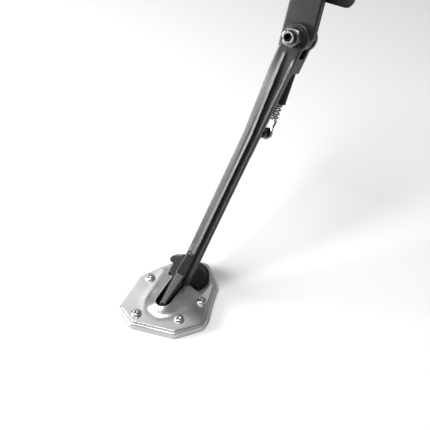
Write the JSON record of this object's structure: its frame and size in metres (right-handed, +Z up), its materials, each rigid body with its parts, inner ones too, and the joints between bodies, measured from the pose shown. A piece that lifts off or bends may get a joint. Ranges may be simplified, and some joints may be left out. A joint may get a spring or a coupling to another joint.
{
  "type": "motorcycle side stand",
  "caption": "Motorcycle side stand: forged black leg in a fork joint on a bolt-on bracket, sleeved return springs and a wide two-layer metal foot plate.",
  "frame": {"origin": "middle of the two mounting holes, on the bracket's mounting face", "axes": "+X towards the motorcycle's front, +Y outboard, +Z up; the stand is deployed with its foot plate level"},
  "size_m": [0.1701, 0.27, 0.3918],
  "materials": {
    "black_enamel": "satin black enamel over forged steel, worn at the edges",
    "zinc_plated_steel": "zinc plated, slightly dulled",
    "bush_bronze": "sintered bronze, oiled",
    "spring_steel": "dark phosphated spring wire",
    "sleeve_rubber": "matte black rubber",
    "brushed_stainless": "fine brushed stainless sheet",
    "machined_aluminium": "clear anodised, fine machining marks",
    "screw_stainless": "bright stainless"
  },
  "bodies": {
    "bracket": {"bracket": "black_enamel", "pivot_bush": "bush_bronze", "outer_thrust_washer": "bush_bronze", "inner_thrust_washer": "bush_bronze", "upper_spring_post": "zinc_plated_steel", "upper_circlip": "spring_steel", "upper_post_washer": "zinc_plated_steel"},
    "stand": {"leg": "black_enamel", "kick_tang": "black_enamel", "foot_pad": "black_enamel", "top_plate": "brushed_stainless", "base_plate": "machined_aluminium", "foot_screws": "screw_stainless", "pivot_bolt": "zinc_plated_steel", "pivot_nut": "zinc_plated_steel", "outer_washer": "zinc_plated_steel", "inner_washer": "zinc_plated_steel", "lower_spring_post": "zinc_plated_steel", "lower_circlip": "spring_steel", "lower_post_washer": "zinc_plated_steel"},
    "springs": {"outer_spring": "spring_steel", "inner_spring": "spring_steel", "spring_sleeve": "sleeve_rubber"}
  },
  "joints": [
    {"name": "stand_pivot", "type": "hinge", "parent": "bracket", "child": "stand", "pos_m": [0, 0.046, -0.052], "axis": [0, 0.9063, 0.4226], "range_deg": [0, 104], "deforming": ["outer_spring", "inner_spring"]},
    {"name": "spring_swing", "type": "hinge", "parent": "stand", "child": "springs", "pos_m": [0.02215, 0.0754, -0.17184], "axis": [0, 0.9063, 0.4226], "range_deg": [-14, 0]}
  ],
  "couplings": [
    {"joint": "spring_swing", "follows": "stand_pivot", "ratio": -0.1334}
  ]
}
